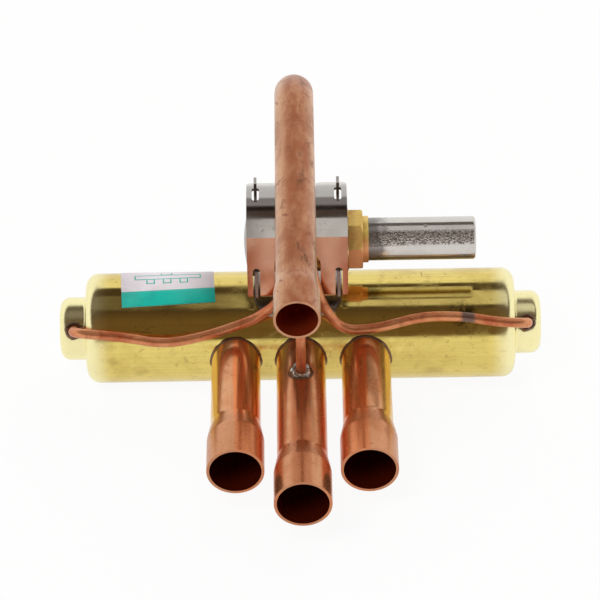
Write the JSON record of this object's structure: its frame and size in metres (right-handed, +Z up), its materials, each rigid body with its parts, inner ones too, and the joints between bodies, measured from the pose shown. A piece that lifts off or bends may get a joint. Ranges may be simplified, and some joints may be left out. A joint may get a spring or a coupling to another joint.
{
  "type": "four way reversing valve",
  "caption": "Slide type four way reversing valve with a solenoid pilot valve, for a heat pump's refrigerant circuit.",
  "frame": {"origin": "on the barrel's axis, at the suction port", "axes": "+X along the barrel towards the coil end, tube sockets open towards -Y, +Z up through the pilot valve"},
  "size_m": [0.1568, 0.1578, 0.0871],
  "materials": {
    "barrel_brass": "polished, with fine scratches",
    "turned_brass": "turned",
    "tube_copper": "drawn copper, lightly brushed",
    "braze": "silver braze, dull",
    "cover_steel": "bright stainless sheet",
    "sheet_steel": "pressed stainless sheet",
    "tube_steel": "drawn and turned steel",
    "slide_plastic": "moulded",
    "seal_plastic": "turned",
    "label_film": "printed film in two plain colours"
  },
  "bodies": {
    "valve": {"valve_barrel": "barrel_brass", "end_cap_left": "barrel_brass", "end_cap_right": "barrel_brass", "valve_seat": "turned_brass", "evaporator_tube": "tube_copper", "suction_tube": "tube_copper", "condenser_tube": "tube_copper", "discharge_tube": "tube_copper", "port_brazes": "braze", "pilot_body": "turned_brass", "pilot_end_plug": "sheet_steel", "pilot_collar": "turned_brass", "enclosing_tube": "tube_steel", "fixed_core": "tube_steel", "shading_ring": "tube_copper", "plunger_spring": "tube_steel", "pilot_seat": "turned_brass", "saddle_bracket": "sheet_steel", "bracket_cover": "cover_steel", "capillary_left": "tube_copper", "capillary_right": "tube_copper", "capillary_suction": "tube_copper", "capillary_discharge": "tube_copper", "capillary_brazes": "braze", "port_label": "label_film"},
    "shuttle": {"slide_valve": "slide_plastic", "slide_carrier": "sheet_steel", "slide_spring": "sheet_steel", "piston_left": "turned_brass", "piston_right": "turned_brass", "piston_seal_left": "seal_plastic", "piston_seal_right": "seal_plastic", "seal_plate_left": "sheet_steel", "seal_plate_right": "sheet_steel", "piston_screws": "sheet_steel"},
    "pilot_plunger": {"plunger": "tube_steel", "pilot_carrier": "sheet_steel", "pilot_slide": "slide_plastic", "pilot_leaf_spring": "sheet_steel"}
  },
  "joints": [
    {"name": "shuttle_slide", "type": "slide", "parent": "valve", "child": "shuttle", "axis": [1, 0, 0], "range_m": [0, 0.021]},
    {"name": "plunger_slide", "type": "slide", "parent": "valve", "child": "pilot_plunger", "axis": [1, 0, 0], "range_m": [0, 0.0038], "stiffness_N_per_m": 300, "springref_m": -0.003, "deforming": ["plunger_spring"]}
  ]
}
